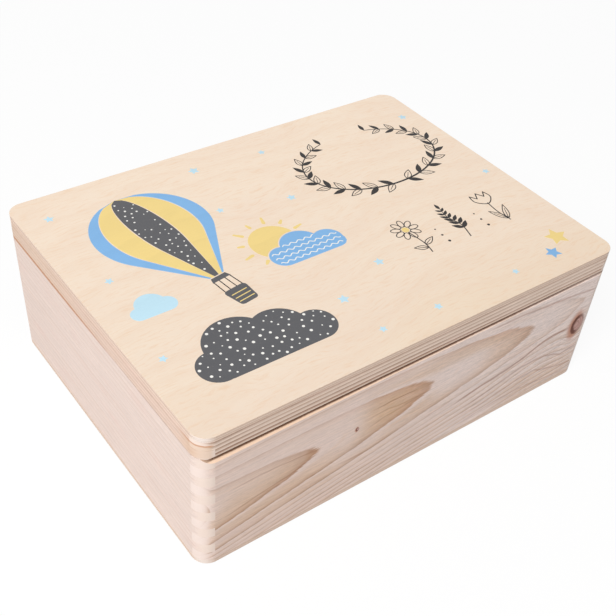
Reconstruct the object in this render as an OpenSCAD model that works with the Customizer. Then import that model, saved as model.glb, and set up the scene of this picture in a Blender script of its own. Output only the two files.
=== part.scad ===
// Hinged keepsake box: four finger-jointed pine boards on a plywood bottom, and a lid made of a
// finger-jointed pine frame under a plywood panel, hung on two butt hinges on the back.
// The origin is the centre of the underside. +X runs along the long front, +Y to the back, +Z up.

/* [Case] */
// Width of the box along its front
box_w = 400; // [260:5:600]
// Depth of the box from front to back
box_d = 300; // [180:5:450]
// Height of the four boards of the case
board_h = 111.5; // [60:0.5:240]
// Thickness of the four boards of the case
wall_t = 12; // [8:0.5:18]
// Thickness of the plywood bottom
bottom_t = 4; // [3:0.5:10]
// Outside radius of the upright corners of the case and the lid
corner_r = 13; // [4:0.5:20]
// Wanted height of one finger of the case, of which a corner takes the nearest even number
case_finger_h = 9.3; // [6:0.1:20]

/* [Front edge] */
// Bevel along the whole top edge of the front, where a thumb lifts the lid
thumb_bevel = 2.2; // [0.5:0.1:3]
// Deeper bevel at the left end of that edge, which runs out towards the right
end_bevel = 4.6; // [1.5:0.1:6]
// Length over which the deeper bevel runs out
end_bevel_run = 320; // [80:5:400]
// Bevel along the bottom edge of the front of the lid
lid_bevel = 1.5; // [0.5:0.1:3]

/* [Lid] */
// Gap between the case and the closed lid
lid_gap = 0.5; // [0.3:0.1:2]
// Height of the four rails of the lid frame
rail_h = 16.5; // [15:0.5:60]
// Thickness of the four rails of the lid frame
rail_t = 12; // [8:0.5:18]
// Thickness of the plywood panel on top of the rails
panel_t = 4; // [3:0.5:10]
// Wanted height of one finger of the lid frame, of which a corner takes the nearest even number
lid_finger_h = 8.25; // [5:0.25:20]

/* [Hinges] */
// Length of a hinge along the back
hinge_w = 30; // [24:1:60]
// Distance from each side of the box to the middle of its hinge
hinge_inset = 75; // [40:1:90]
// Height of a hinge leaf, from the pin's axis to its free edge
leaf_h = 13; // [10:0.5:14]
// Thickness of a hinge leaf
leaf_t = 1; // [0.8:0.1:1.4]
// Corner radius of a hinge leaf
leaf_corner_r = 1.5; // [0.5:0.1:3]
// Outside radius of a hinge barrel
barrel_r = 2.4; // [2.2:0.1:3.2]
// Radius of a hinge pin
pin_r = 1.2; // [0.8:0.1:1.4]
// Radius of the riveted ends of a hinge pin
pin_head_r = 1.9; // [1.6:0.1:2.1]
// Thickness of the riveted ends of a hinge pin
pin_head_t = 0.6; // [0.4:0.1:1]
// Number of knuckles in a hinge barrel
knuckle_count = 5; // [3:2:7]
// Gap between neighbouring knuckles
knuckle_gap = 0.2; // [0.1:0.05:0.4]
// Radial clearance of a hinge pin in its knuckles
pin_clear = 0.05; // [0.02:0.01:0.1]
// Clearance between a barrel and the wood or the other leaf
barrel_clear = 0.3; // [0.2:0.05:0.6]

/* [Screws] */
// Shank radius of a hinge screw
screw_r = 1.25; // [1:0.05:1.5]
// Wood left between the tip of a screw and the inside of the box
screw_skin = 3; // [2:0.5:5]
// Distance from the end of a leaf to its screw
screw_edge = 6; // [4:0.5:8]
// Length of a screw's point
screw_tip = 2; // [1:0.5:3]
// Width of the cross slots in a screw head
slot_w = 0.5; // [0.3:0.05:0.7]
// Depth of the cross slots in a screw head
slot_depth = 0.6; // [0.3:0.05:0.8]
// Clearance round a screw in its leaf and its pilot hole
screw_clear = 0.05; // [0.03:0.01:0.2]

/* [Hidden] */
$fn = 96;

pine = [0.85, 0.74, 0.63];
pale_pine = [0.93, 0.86, 0.78];
plywood = [0.94, 0.86, 0.74];
steel = [0.72, 0.72, 0.7];

// How far a cutting shape reaches past the solid that it cuts
over = 1;

// Heights of the faces of the stack, from the ground up
case_top_z = bottom_t + board_h;
lid_z = case_top_z + lid_gap;
panel_z = lid_z + rail_h;

// The pin's axis lies level with the gap under the lid, just clear of the back
axis_z = case_top_z + lid_gap / 2;
axis_out = barrel_r + barrel_clear;
hinge_x = box_w / 2 - hinge_inset;

// Nearest even number of fingers of about the wanted height
function finger_count(height, wanted) = max(2, 2 * round(height / wanted / 2));
case_fingers = finger_count(board_h, case_finger_h);
lid_fingers = finger_count(rail_h, lid_finger_h);

// ---- outline and corner joints ----------------------------------------------------------------

module outline_2d() {
    inner_w = box_w - 2 * corner_r;
    inner_d = box_d - 2 * corner_r;
    square([box_w, inner_d], center = true);
    square([inner_w, box_d], center = true);
    for (x = [-1, 1], y = [-1, 1])
        translate([x * inner_w / 2, y * inner_d / 2])
            circle(r = corner_r);
}

// Keeps what lies inside the rounded outline of the box
module inside_outline(height) {
    intersection() {
        children();
        translate([0, 0, -over])
            linear_extrude(height + 2 * over)
                outline_2d();
    }
}

// The corner blocks at every second level, which the boards of the other direction fill.
// first is the lowest level that is cut away: 0 or 1.
module sockets(height, thickness, count, first) {
    pitch = height / count;
    for (level = [first : 2 : count - 1]) {
        bottom = level == 0 ? -over : level * pitch;
        top = level == count - 1 ? height + over : (level + 1) * pitch;
        for (x = [-1, 1], y = [-1, 1])
            translate([
                x * (box_w - thickness + over) / 2,
                y * (box_d - thickness + over) / 2,
                (bottom + top) / 2
            ])
                cube([thickness + over, thickness + over, top - bottom], center = true);
    }
}

// A board or rail along the front (side = -1) or the back (side = 1)
module long_board(side, height, thickness, count, first) {
    inside_outline(height)
        difference() {
            translate([0, side * (box_d - thickness) / 2, height / 2])
                cube([box_w, thickness, height], center = true);
            sockets(height, thickness, count, first);
        }
}

// A board or rail along the left (side = -1) or the right (side = 1)
module short_board(side, height, thickness, count, first) {
    inside_outline(height)
        difference() {
            translate([side * (box_w - thickness) / 2, 0, height / 2])
                cube([thickness, box_d, height], center = true);
            sockets(height, thickness, count, first);
        }
}

// ---- case -------------------------------------------------------------------------------------

// What the bevels take off the top edge of the front: a slim one of one width from end to end,
// and one that is deepest at the left end and runs out along the edge
module front_bevels() {
    reach = box_w + box_d;
    depth = 4 * end_bevel;
    slope_length = sqrt(pow(end_bevel, 2) + 2 * pow(end_bevel_run, 2));
    translate([0, -box_d / 2, board_h - thumb_bevel])
        rotate([45, 0, 0])
            translate([-reach / 2, -depth, 0])
                cube([reach, 2 * depth, depth]);
    translate([end_bevel_run - box_w / 2, -box_d / 2, board_h])
        rotate([asin(end_bevel_run / slope_length), -atan(end_bevel / end_bevel_run), 0])
            translate([-reach, -depth, 0])
                cube([2 * reach, 2 * depth, depth]);
}

// The pilot holes for the screws of both hinges in a board at the back, with z = 0 at its lower face
module pilot_holes(lower_z, thickness) {
    for (side = [-1, 1])
        translate([side * hinge_x, box_d / 2 + axis_out, axis_z - lower_z])
            for (up = [-1, 1])
                at_screws(up)
                    translate([0, 0, -screw_length(thickness) - screw_clear])
                        cylinder(r = screw_r + screw_clear, h = screw_length(thickness) + over);
}

module bottom_panel() {
    color(plywood)
        linear_extrude(bottom_t)
            outline_2d();
}

module front_board() {
    color(pine)
        translate([0, 0, bottom_t])
            difference() {
                long_board(-1, board_h, wall_t, case_fingers, 1);
                front_bevels();
            }
}

module back_board() {
    color(pine)
        translate([0, 0, bottom_t])
            difference() {
                long_board(1, board_h, wall_t, case_fingers, 1);
                pilot_holes(bottom_t, wall_t);
            }
}

module side_board(side) {
    color(pale_pine)
        translate([0, 0, bottom_t])
            difference() {
                short_board(side, board_h, wall_t, case_fingers, 0);
                front_bevels();
            }
}

// ---- lid --------------------------------------------------------------------------------------

// What the bevel takes off the bottom edge of the front of the lid frame
module lid_front_bevel() {
    reach = box_w + box_d;
    depth = 4 * lid_bevel;
    translate([0, -box_d / 2, lid_bevel])
        rotate([-45, 0, 0])
            translate([-reach / 2, -depth, -depth])
                cube([reach, 2 * depth, depth]);
}

module lid_front_rail() {
    color(pine)
        translate([0, 0, lid_z])
            difference() {
                long_board(-1, rail_h, rail_t, lid_fingers, 0);
                lid_front_bevel();
            }
}

module lid_back_rail() {
    color(pine)
        translate([0, 0, lid_z])
            difference() {
                long_board(1, rail_h, rail_t, lid_fingers, 0);
                pilot_holes(lid_z, rail_t);
            }
}

module lid_side_rail(side) {
    color(pale_pine)
        translate([0, 0, lid_z])
            difference() {
                short_board(side, rail_h, rail_t, lid_fingers, 1);
                lid_front_bevel();
            }
}

module lid_panel() {
    color(plywood)
        translate([0, 0, panel_z])
            linear_extrude(panel_t)
                outline_2d();
}

// ---- hinges -----------------------------------------------------------------------------------
// A hinge is drawn round its own pin: x along the pin, y away from the back of the box, z up.
// up is -1 for the leaf on the case and 1 for the leaf on the lid.

knuckle_pitch = (hinge_w + knuckle_gap) / knuckle_count;
knuckle_w = knuckle_pitch - knuckle_gap;
function knuckle_x(i) = -hinge_w / 2 + knuckle_w / 2 + i * knuckle_pitch;

// Where a leaf's full width starts, clear of the other leaf's knuckles
leaf_root = sqrt(pow(axis_out, 2) - pow(axis_out - leaf_t, 2)) + barrel_clear;

// Screws sit midway up the flat of a leaf, with heads as deep as the leaf is thick
screw_z = (leaf_h + leaf_root) / 2;
screw_head_r = screw_r + leaf_t;
function screw_length(thickness) = leaf_t + thickness - screw_skin;

module at_hinge(side) {
    translate([side * hinge_x, box_d / 2 + axis_out, axis_z])
        children();
}

// Puts its children at each screw of a leaf, with z = 0 on the leaf's outer face and +z outwards
module at_screws(up) {
    for (x = [-1, 1])
        translate([x * (hinge_w / 2 - screw_edge), leaf_t - axis_out, up * screw_z])
            rotate([-90, 0, 0])
                children();
}

// The flat of a leaf, whose free corners are rounded
module leaf_plate() {
    straight_w = hinge_w - 2 * leaf_corner_r;
    rotate([90, 0, 0])
        translate([0, 0, axis_out - leaf_t])
            linear_extrude(leaf_t) {
                translate([-hinge_w / 2, leaf_root])
                    square([hinge_w, leaf_h - leaf_root - leaf_corner_r]);
                translate([-straight_w / 2, leaf_root])
                    square([straight_w, leaf_h - leaf_root]);
                for (x = [-1, 1])
                    translate([x * straight_w / 2, leaf_h - leaf_corner_r])
                        circle(r = leaf_corner_r);
            }
}

// One knuckle of the barrel and the tongue that joins it to the flat of its leaf
module knuckle(x) {
    translate([x - knuckle_w / 2, 0, 0])
        rotate([0, 90, 0])
            cylinder(r = barrel_r, h = knuckle_w);
    translate([x - knuckle_w / 2, -axis_out, lid_gap / 2])
        cube([knuckle_w, leaf_t, leaf_root]);
}

module hinge_leaf(up) {
    color(steel)
        difference() {
            mirror([0, 0, up < 0 ? 1 : 0])
                union() {
                    leaf_plate();
                    for (i = [up < 0 ? 0 : 1 : 2 : knuckle_count - 1])
                        knuckle(knuckle_x(i));
                }
            translate([-hinge_w / 2 - over, 0, 0])
                rotate([0, 90, 0])
                    cylinder(r = pin_r + pin_clear, h = hinge_w + 2 * over);
            at_screws(up)
                screw_hole();
        }
}

// A countersunk hole right through a leaf
module screw_hole() {
    translate([0, 0, -leaf_t])
        cylinder(r1 = screw_r + screw_clear, r2 = screw_head_r + screw_clear, h = leaf_t);
    translate([0, 0, -leaf_t - over])
        cylinder(r = screw_r + screw_clear, h = 2 * over);
    cylinder(r = screw_head_r + screw_clear, h = over);
}

module hinge_pin() {
    color(steel)
        rotate([0, 90, 0])
            union() {
                translate([0, 0, -hinge_w / 2 - pin_head_t])
                    cylinder(r = pin_r, h = hinge_w + 2 * pin_head_t);
                for (z = [-hinge_w / 2 - pin_head_t, hinge_w / 2])
                    translate([0, 0, z])
                        cylinder(r = pin_head_r, h = pin_head_t);
            }
}

// A countersunk wood screw with a cross slot, its head level with z = 0
module screw(length) {
    difference() {
        rotate_extrude()
            polygon([
                [0, 0], [screw_head_r, 0], [screw_r, -leaf_t],
                [screw_r, screw_tip - length], [0, -length]
            ]);
        for (turn = [0, 90])
            rotate([0, 0, turn])
                translate([0, 0, (over - slot_depth) / 2])
                    cube([2 * screw_r, slot_w, over + slot_depth], center = true);
    }
}

module hinge_screws(up) {
    color(steel)
        at_screws(up)
            screw(screw_length(up < 0 ? wall_t : rail_t));
}

bottom_panel();
front_board();
back_board();
side_board(-1);  // left_board
side_board(1);  // right_board
lid_front_rail();
lid_back_rail();
lid_side_rail(-1);  // lid_left_rail
lid_side_rail(1);  // lid_right_rail
lid_panel();
at_hinge(-1) hinge_leaf(-1);  // left_hinge_case_leaf
at_hinge(-1) hinge_leaf(1);  // left_hinge_lid_leaf
at_hinge(-1) hinge_pin();  // left_hinge_pin
at_hinge(-1) hinge_screws(-1);  // left_hinge_case_screws
at_hinge(-1) hinge_screws(1);  // left_hinge_lid_screws
at_hinge(1) hinge_leaf(-1);  // right_hinge_case_leaf
at_hinge(1) hinge_leaf(1);  // right_hinge_lid_leaf
at_hinge(1) hinge_pin();  // right_hinge_pin
at_hinge(1) hinge_screws(-1);  // right_hinge_case_screws
at_hinge(1) hinge_screws(1);  // right_hinge_lid_screws
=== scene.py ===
import math
import random
from dataclasses import dataclass
from functools import partialmethod

import bpy
from mathutils import Euler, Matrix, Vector
from mathutils.geometry import delaunay_2d_cdt


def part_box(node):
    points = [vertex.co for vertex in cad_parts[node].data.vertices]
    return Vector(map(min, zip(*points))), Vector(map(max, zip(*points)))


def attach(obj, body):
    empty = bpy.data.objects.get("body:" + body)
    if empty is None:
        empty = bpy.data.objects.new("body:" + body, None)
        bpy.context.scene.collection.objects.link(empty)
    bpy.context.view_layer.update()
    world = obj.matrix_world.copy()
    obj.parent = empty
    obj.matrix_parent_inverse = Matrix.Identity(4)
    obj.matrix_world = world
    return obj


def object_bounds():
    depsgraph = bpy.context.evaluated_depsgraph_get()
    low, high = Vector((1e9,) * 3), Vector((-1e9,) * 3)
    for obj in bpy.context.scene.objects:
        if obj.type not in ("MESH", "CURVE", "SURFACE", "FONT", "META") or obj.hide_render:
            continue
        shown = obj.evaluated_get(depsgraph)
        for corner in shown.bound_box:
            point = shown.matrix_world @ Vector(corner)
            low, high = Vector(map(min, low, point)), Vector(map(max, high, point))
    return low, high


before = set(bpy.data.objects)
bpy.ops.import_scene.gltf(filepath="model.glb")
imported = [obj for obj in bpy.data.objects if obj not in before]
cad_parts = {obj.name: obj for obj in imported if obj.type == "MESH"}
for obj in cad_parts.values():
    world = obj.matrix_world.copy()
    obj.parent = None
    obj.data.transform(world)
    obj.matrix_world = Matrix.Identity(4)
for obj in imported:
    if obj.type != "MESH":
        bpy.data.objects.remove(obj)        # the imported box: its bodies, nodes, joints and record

# ======== Frame ========
# Everything is in the frame of the box, whose origin is the centre of its
# underside, with +X to the right, +Y to the back and +Z up. Lengths called mm
# are millimetres, all others are metres.

MM = 0.001                      # one millimetre in metres
CAD_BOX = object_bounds()
BODY_LOW, BODY_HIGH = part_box("front_board")
RAIL_LOW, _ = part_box("lid_front_rail")
HALF_X, HALF_Y = BODY_HIGH[0], -BODY_LOW[1]                     # of the case
HALF_X_MM, HALF_Y_MM = HALF_X / MM, HALF_Y / MM
RIM_HEIGHT_MM = (BODY_HIGH[2] + RAIL_LOW[2]) / 2 / MM           # middle of the seam
LID_TOP_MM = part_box("lid_panel")[1][2] / MM

# ======== Camera, as the photograph was taken ========

CAMERA_PLACE = (-0.40423, -0.49509, 0.58920)
CAMERA_TURN_DEG = (46.139, -3.922, -36.006)
CAMERA_LENS_MM = 55.668
CAMERA_SENSOR_MM = 36
CAMERA_SHIFT_Y = 0.10           # the photograph is a crop from below the middle of its frame
CAMERA_NEAREST = 0.01


def add_object(name, data):
    """A new object in the scene."""
    made = bpy.data.objects.new(name, data)
    bpy.context.scene.collection.objects.link(made)
    return made


def make_camera():
    """The camera that sees the box as the photograph does."""
    data = bpy.data.cameras.new("camera")
    data.lens = CAMERA_LENS_MM
    data.sensor_width = CAMERA_SENSOR_MM
    data.shift_y = CAMERA_SHIFT_Y
    data.clip_start = CAMERA_NEAREST
    camera = add_object("camera", data)
    camera.location = CAMERA_PLACE
    camera.rotation_euler = Euler([math.radians(a) for a in CAMERA_TURN_DEG])
    bpy.context.scene.camera = camera


# ======== Shader arithmetic ========


def srgb(red, green, blue):
    """A colour given as it looks on screen, 0 to 255, as linear light with full opacity."""

    def linear(value):
        part = value / 255
        return part / 12.92 if part <= 0.04045 else ((part + 0.055) / 1.055) ** 2.4

    return (linear(red), linear(green), linear(blue), 1)


def plug(tree, socket, value):
    """Links a wire to a socket, or sets the socket to a plain value."""
    if isinstance(value, Wire):
        tree.links.new(value.socket, socket)
    else:
        socket.default_value = value


def node(tree, kind, inputs=(), output=0, **settings):
    """One output of a new node, whose inputs are wires or plain values, by place or by name."""
    new = tree.nodes.new("ShaderNode" + kind)
    for name, value in settings.items():
        setattr(new, name, value)
    for key, value in inputs.items() if isinstance(inputs, dict) else enumerate(inputs):
        plug(tree, new.inputs[key], value)
    return Wire(tree, new.outputs[output])


class Wire:
    """What one node socket carries. Arithmetic on it adds the nodes that work it out."""

    def __init__(self, tree, socket):
        self.tree = tree
        self.socket = socket

    def math(self, operation, *others):
        return node(self.tree, "Math", (self, *others), operation=operation)

    __add__ = __radd__ = partialmethod(math, "ADD")
    __sub__ = partialmethod(math, "SUBTRACT")
    __mul__ = __rmul__ = partialmethod(math, "MULTIPLY")
    __truediv__ = partialmethod(math, "DIVIDE")
    __pow__ = partialmethod(math, "POWER")
    __neg__ = partialmethod(math, "MULTIPLY", -1)
    root = partialmethod(math, "SQRT")
    size = partialmethod(math, "ABSOLUTE")
    fraction = partialmethod(math, "FRACT")
    whole = partialmethod(math, "FLOOR")
    most = partialmethod(math, "MAXIMUM")
    least = partialmethod(math, "MINIMUM")
    exp = partialmethod(math, "EXPONENT")

    def __rsub__(self, other):
        return -self + other

    def rise(self, low, high, course="LINEAR"):
        """0 below low, 1 above high, and a straight rise between them."""
        return node(self.tree, "MapRange", (self, low, high), interpolation_type=course)

    def step(self, low, high):
        """0 below low, 1 above high, and a smooth rise between them."""
        return self.rise(low, high, "SMOOTHSTEP")

    def fall(self, low, high):
        """1 below low, 0 above high, and a smooth fall between them."""
        return 1 - self.step(low, high)


@dataclass
class Grain:
    """A layer of noise: how long and wide its marks are in millimetres, and how fine and rough."""

    long: float
    wide: float
    detail: float = 2.0
    rough: float = 0.5


class Coat:
    """One material: a colour that is painted on in layers, and a Principled shader as its end."""

    def __init__(self, name, colour):
        self.material = bpy.data.materials.new(name)
        self.material.use_nodes = True
        self.tree = self.material.node_tree
        self.shader = self.tree.nodes["Principled BSDF"]
        self.colour = colour

    def coordinates(self, kind):
        """One kind of texture coordinates as three wires, x, y and z."""
        place = node(self.tree, "TexCoord", output=kind)
        parts = self.tree.nodes.new("ShaderNodeSeparateXYZ")
        plug(self.tree, parts.inputs[0], place)
        return [Wire(self.tree, part) for part in parts.outputs]

    def place_mm(self):
        """Place on the piece as three wires, in millimetres of the box's frame."""
        return [part * (1 / MM) for part in self.coordinates("Object")]

    def facing(self):
        """The surface direction as three wires, in the piece's own axes."""
        return self.coordinates("Normal")

    def noise(self, x, y, z, detail=2, rough=0.5):
        """Smooth noise about 0, from about -1 to 1, with one unit of x, y and z as its grain."""
        place = node(self.tree, "CombineXYZ", (x, y, z))
        inputs = {"Vector": place, "Scale": 1, "Detail": detail, "Roughness": rough}
        return (node(self.tree, "TexNoise", inputs) - 0.5) * 2

    def grain(self, layer, place, seed):
        """The noise of one layer, at a board's u, v and w."""
        u, v, w = place
        wide = layer.wide
        return self.noise(u / layer.long + seed, v / wide, w / wide, layer.detail, layer.rough)

    def chance(self, value):
        """A number from 0 to 1 that differs for each whole number, and stays the same for it."""
        return node(self.tree, "TexWhiteNoise", {"W": value}, noise_dimensions="1D")

    def openness(self, reach_mm):
        """1 where nothing stands within reach of the surface, down to 0 deep in a gap."""
        inputs = {"Distance": reach_mm * MM}
        return node(self.tree, "AmbientOcclusion", inputs, output="AO", samples=8)

    def mix(self, amount, first, second):
        """The first colour where amount is 0, and the second where it is 1."""
        first, second = [c if isinstance(c, Wire) else srgb(*c) for c in (first, second)]
        return node(self.tree, "Mix", {0: amount, 6: first, 7: second}, output=2, data_type="RGBA")

    def paint(self, amount, colour):
        """Covers the finish with another colour by this amount, 0 to 1."""
        self.colour = self.mix(amount, self.colour, colour)

    def shaded(self, amount):
        """The finish's colour made lighter or darker: 1 leaves it as it is."""
        colour = self.colour if isinstance(self.colour, Wire) else srgb(*self.colour)[:3]
        return node(self.tree, "VectorMath", {0: colour, "Scale": amount}, operation="SCALE")

    def shade(self, amount):
        """Makes the finish lighter or darker."""
        self.colour = self.shaded(amount)

    def close(self, roughness, relief_mm, specular, strength):
        """Joins the colour, the roughness and the relief to the shader, and gives the material."""
        sockets = self.shader.inputs
        plug(self.tree, sockets["Base Color"], self.colour)
        plug(self.tree, sockets["Roughness"], roughness)
        sockets["Specular IOR Level"].default_value = specular
        inputs = {"Strength": strength, "Distance": MM, "Height": relief_mm}
        plug(self.tree, sockets["Normal"], node(self.tree, "Bump", inputs))
        return self.material


# ======== Solid pine ========

DRIFT = Grain(190, 70, 1)       # slow and quick waviness of the rings
WOBBLE = Grain(34, 9)
FRAY = Grain(11, 1.1, 3, 0.6)
PATCHY = Grain(40, 18)
CLOUD = Grain(75, 20, 3)
BLUSHES = Grain(50, 14)
FIBRE = Grain(22, 0.42, 3, 0.65)
STREAK = Grain(42, 1.7, 2, 0.6)
SPECK = Grain(5, 1.2, 2, 0.7)
PORE = Grain(4.5, 0.45, 1)
FUZZ = Grain(1.5, 0.3)

WARM_TAN = (222, 184, 148)
RUDDY = (204, 146, 118)
BLUSH = (238, 206, 194)
PORE_BROWN = (150, 108, 84)
VEIN_BROWN = (156, 98, 66)
KNOT_HALO = (186, 112, 74)
HEART_PALE = (206, 166, 156)
HEART_DARK = (142, 88, 74)
BARK = (92, 38, 12)
# the tan below also tints the painted shade along the farther half of the seam
RIM_TAN = (204, 140, 92)
SAWN_WARM = (250, 214, 182)
# brown of the painted shade in the seam and on the bevel under the lid's front
SEAM_SHADE_BROWN = (104, 64, 38)

# Place of the painted shade on the bevel under the lid's front:
BEVEL_SIGHT = 1.37              # fall of the line of sight over the front edge, in mm for each mm
BEVEL_DARK_MM = 114.6           # where that line meets the front when it just misses the shade
GAP_REACH_MM = 5                # how near the lid has to be for the front's bevel to lie in shade
CORNER_RING_MM = 128.6          # height of the tan ring round the lid's near left corner


@dataclass
class Board:
    """How one board was sawn from its log. Lengths are in millimetres.

    u runs along the grain from the left or front end, v is the height above
    the ground, and w is the depth from the board's outer face.
    """

    grain: str                  # axis of the grain, "x" or "y"
    outward: int                # -1 where the outer face looks to -X or -Y, else 1
    pith_height: float          # v of the pith at u = 0
    pith_rise: float = 0.0      # its rise for each mm of u
    pith_bend: float = 0.0      # how that rise changes
    pith_depth: float = 60.0    # depth of the pith behind the outer face at u = 0
    taper: float = 0.0          # how much deeper the pith lies for each mm of u
    ring_gap: float = 8.0       # width of a growth ring
    ring_shift: float = 0.0     # moves all rings outward, in rings
    drift: float = 1.0          # slow waviness of the rings
    wobble: float = 0.35        # quick waviness of the rings
    fray: float = 0.012         # how ragged their edges are, in rings
    contrast: float = 1.0       # strength of the dark latewood
    fading: float = 0.0         # how much of that strength is lost towards the far end
    crisp: float = 8.0          # how narrow the dark line at a ring's outer edge is
    tight_from: float = 1000.0  # rings farther than this from the pith grew closer together
    tight: float = 0.9          # by this much
    lines: float = 1.0          # strength of the fine lines that follow the rings
    early: tuple = (242, 217, 201)
    far: tuple = ()             # its tone at the far end, where that differs
    tan: tuple = (224, 190, 160)
    late: tuple = (190, 150, 126)
    end: tuple = (248, 230, 218)    # tone of the end grain
    rough: float = 0.0          # how much stronger its streaks are at the far end
    upper: float = 1.0          # strength of the rings above the pith against those below
    bevelled: bool = False      # whether it holds a part of the bevel under the lid's front, with the painted shade on it
    turn_highlight: float = 0.0      # strength of the painted highlight where it turns towards the right side
    rim_shade: float = 0.7      # strength of the thin brown line of painted shade along the seam
    rim_warm_shade: float = 0.0       # strength of the tan painted shade along that line, in the farther half
    corner_ring: float = 0.0    # strength of the tan ring at the near left corner
    seed: float = 0.0
    knots: tuple = ()           # spots with a branch that the board cuts across
    swells: tuple = ()          # spots where the grain bulges upward by their power in mm
    patches: tuple = ()         # spots where warm tan fills the rings by their power, 0 to 1
    veins: tuple = ()


@dataclass
class Spot:
    """An oval place on a board, in its u and v."""

    u: float
    v: float
    wide: float
    high: float
    power: float = 2.2          # how far a knot bends the grain round it, in its radii

    def away(self, u, v, power):
        """0 at its middle, 1 at its rim, and more farther out."""
        return ((u - self.u) / self.wide) ** power + ((v - self.v) / self.high) ** power


@dataclass
class Vein:
    """A dark line through these places (u, v) of the board, from left to right."""

    course: tuple
    wide: float
    dark: float


def board_place(coat, board):
    """The wires u, v and w of a board, and how far its surface faces along the grain."""
    x, y, z = coat.place_mm()
    facing_x, facing_y, _ = coat.facing()
    if board.grain == "x":
        return (x + HALF_X_MM, z, HALF_Y_MM - y * board.outward), facing_x.size()
    return (y + HALF_Y_MM, z, HALF_X_MM - x * board.outward), facing_y.size()


def around_knots(board, u, v):
    """The height at which the grain would run without swells and knots, and each knot's place.

    That place is the distance from its middle and the way to its right, in its radii.
    """
    bent = v
    spots = []
    for swell in board.swells:
        bent = bent - (-swell.away(u, v, 2)).exp() * swell.power
    for knot in board.knots:
        du = (u - knot.u) / knot.wide
        dv = (v - knot.v) / knot.high
        distance = (du * du + dv * dv).root()
        pull = (-(distance / knot.power) ** 2).exp()
        bent = bent - (v - knot.v) * pull * 0.8
        spots.append((distance, du))
    return bent, spots


def growth_rings(coat, board, place):
    """How far into its ring each point lies, that ring's strength, its radius and the pith's v."""
    u, v, w = place
    drift = coat.grain(DRIFT, place, board.seed)
    wobble = coat.grain(WOBBLE, place, board.seed)
    pith_v = u * board.pith_rise + u * u * board.pith_bend + board.pith_height
    across = v - pith_v
    deep = u * board.taper + board.pith_depth - w
    radius = (across * across + deep * deep).root()
    radius = radius + drift * board.drift + wobble * board.wobble
    outer = (radius - board.tight_from).most(0)
    count = (radius + outer * board.tight) / board.ring_gap + board.ring_shift
    return count.fraction(), coat.chance(count.whole() + board.seed), radius, pith_v


def paint_patches(coat, board, u, v, age, frayed, drop, endness):
    """Fills the rings with tan and a ruddy edge in the board's patches."""
    for patch in board.patches:
        here = (-patch.away(u, v, 4)).exp() * (1 - endness) * patch.power
        warm = (age + frayed * 0.12).step(0, 0.3) * drop * (frayed * 0.5 + 0.8)
        coat.paint((here * warm).least(1), WARM_TAN)
        coat.paint(here * age ** 6 * drop * 0.6, RUDDY)


def paint_rings(coat, board, place, bent, endness):
    """Paints the rings; gives how late in its ring each point lies, and its radius."""
    u, v, w = place
    age, strength, radius, pith_v = growth_rings(coat, board, (u, bent, w))
    frayed = coat.grain(FRAY, place, board.seed)
    drop = (age + frayed * board.fray).fall(0.93, 1)
    late = age ** board.crisp * drop
    fill = age ** 1.8 * drop
    patchy = coat.grain(PATCHY, place, board.seed) * 0.45 + 0.85
    power = (strength * 0.7 + 0.45) * patchy * board.contrast * (frayed * 0.25 + 1)
    power = power * (1 - u.step(120, 330) * board.fading) * (1 - endness * 0.85)
    power = power * (1 - (bent - pith_v).step(0, 16) * (1 - board.upper))

    if board.far:
        coat.paint(u.step(80, 320), board.far)
    coat.paint((fill * power * 0.8).least(1), board.tan)
    paint_patches(coat, board, u, v, age, frayed, drop, endness)
    coat.paint((late * power).least(1), board.late)
    return late, radius


def paint_figure(coat, board, place, radius, endness):
    """Paints threads along the rings, clouds, fibres and pores; gives the fibres and pores."""
    u, v, _ = place
    seed = board.seed
    thread = coat.noise(u / 120 + seed, radius / 1.1, v / 50, detail=3, rough=0.65)
    thread = thread * (1 - endness * 0.6) * board.lines
    coat.paint(thread.step(0.05, 0.8) * 0.5, board.tan)
    coat.shade(thread * 0.055 + 1)
    coat.paint(coat.grain(CLOUD, place, seed).step(-0.5, 0.5) * 0.45, coat.shaded(0.94))
    coat.paint(coat.grain(BLUSHES, place, -seed).step(0, 0.6) * 0.3, BLUSH)

    fibre = coat.grain(FIBRE, place, seed)
    streak = coat.grain(STREAK, place, -seed)
    speck = coat.grain(SPECK, place, seed)
    rough = u.step(80, 400) * board.rough + 1
    tone = (fibre * 0.13 + streak * 0.16 + speck * 0.14) * rough
    coat.shade(tone * (1 - endness * 0.6) * board.lines + 1)
    pore = coat.grain(PORE, place, seed).step(0.42, 0.6)
    coat.paint(pore * 0.28, PORE_BROWN)
    return fibre, pore


def paint_ends(coat, board, endness):
    """Pales the end grain, and paints a highlight on the corner that turns towards the right side."""
    coat.paint(endness * 0.7, board.end)
    # painted highlight on the rounded corner that faces the right side
    if board.turn_highlight:
        facing_x, _, _ = coat.facing()
        turned = facing_x.step(0.08, 0.45) * facing_x.fall(0.75, 0.95)
        coat.paint(turned * board.turn_highlight, board.end)


def paint_veins(coat, board, u, v):
    """Paints the dark lines of a board, a little unsteady and faded at both ends."""
    for vein in board.veins:
        (start, first), (stop, _) = vein.course[0], vein.course[-1]
        shaky = coat.noise(u / 12, v / 12, board.seed + first) * 0.8
        height = coat.noise(u / 60, 0, board.seed + first) * 0.4 + first
        for (u1, v1), (u2, v2) in zip(vein.course, vein.course[1:]):
            height = height + u.rise(u1, u2) * (v2 - v1)
        near = (v - height + shaky).size().fall(0, vein.wide)
        ends = u.step(start - 4, start + 14) * u.fall(stop - 6, stop + 6)
        coat.paint(near * ends * vein.dark, VEIN_BROWN)


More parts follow.
